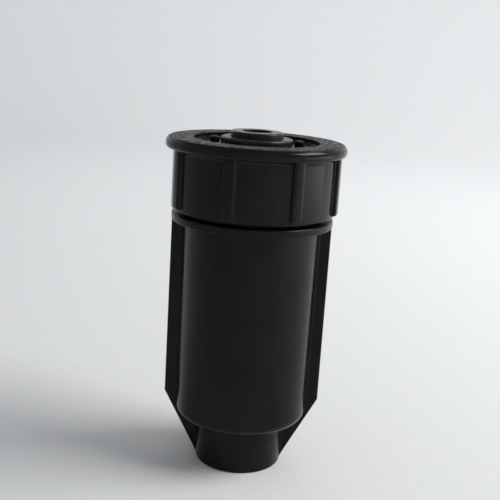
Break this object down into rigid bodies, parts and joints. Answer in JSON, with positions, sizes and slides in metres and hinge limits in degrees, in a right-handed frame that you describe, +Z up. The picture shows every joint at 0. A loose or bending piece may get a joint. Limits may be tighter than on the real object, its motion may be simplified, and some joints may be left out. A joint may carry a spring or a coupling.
{
  "type": "sprinkler key hider",
  "caption": "Black plastic key canister shaped like a pop-up lawn sprinkler head, with a finned body, stepped inlet stub and ribbed screw cap.",
  "frame": {"origin": "centre of the stub's flat foot, on the ground", "axes": "+Z up the axis to the cap, +X along the two fins, -Y to the front"},
  "size_m": [0.057, 0.057, 0.11],
  "materials": {
    "canister_plastic": "moulded, semi-gloss",
    "cap_plastic": "moulded, sand-textured flange",
    "seal_rubber": "moulded rubber",
    "gasket_rubber": "cut sheet rubber"
  },
  "bodies": {
    "canister": {"canister": "canister_plastic"},
    "gasket": {"cap_gasket": "gasket_rubber"},
    "cap": {"cap": "cap_plastic", "wiper_seal": "seal_rubber", "riser": "cap_plastic"}
  },
  "joints": [
    {"name": "cap_lift", "type": "slide", "parent": "canister", "child": "gasket", "axis": [0, 0, 1], "range_m": [0, 0.02]},
    {"name": "cap_turn", "type": "hinge", "parent": "gasket", "child": "cap", "pos_m": [0, 0, 0.1038], "axis": [0, 0, 1], "range_deg": [0, 1800]}
  ],
  "couplings": [
    {"joint": "cap_lift", "follows": "cap_turn", "m_per_rad": 0.00063661}
  ]
}
